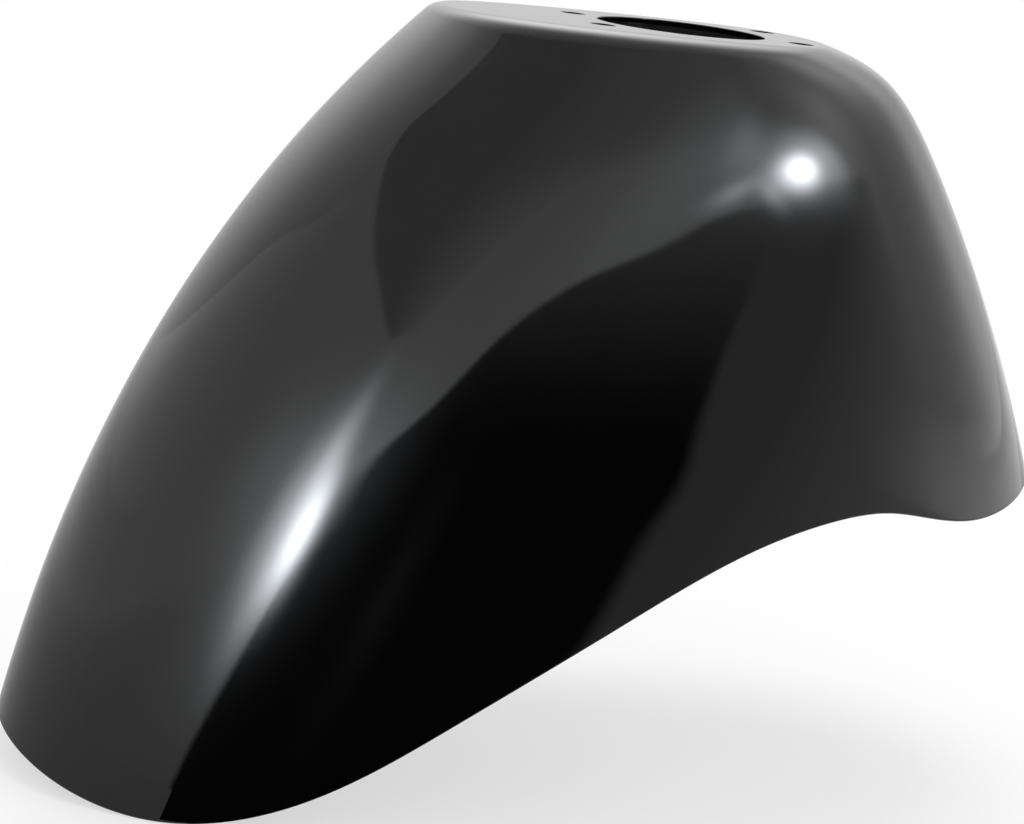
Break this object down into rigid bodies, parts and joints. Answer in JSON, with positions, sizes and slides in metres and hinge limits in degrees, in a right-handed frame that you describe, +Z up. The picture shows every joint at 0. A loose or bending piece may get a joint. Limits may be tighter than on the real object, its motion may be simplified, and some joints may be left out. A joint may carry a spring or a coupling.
{
  "type": "scooter front mudguard",
  "caption": "Gloss black moulded mudguard for a scooter's front wheel: a deep rounded shell with a flat, holed plate on top that bolts under the fork yoke.",
  "frame": {"origin": "centre of the stem hole, on the upper face of the top plate", "axes": "+Z up along the steering axis, -Y towards the nose, +X to the vehicle's left side"},
  "size_m": [0.1724, 0.421, 0.3073],
  "materials": {
    "black_gloss": "smooth high gloss"
  },
  "bodies": {
    "root": {"mudguard_shell": "black_gloss"}
  },
  "joints": []
}
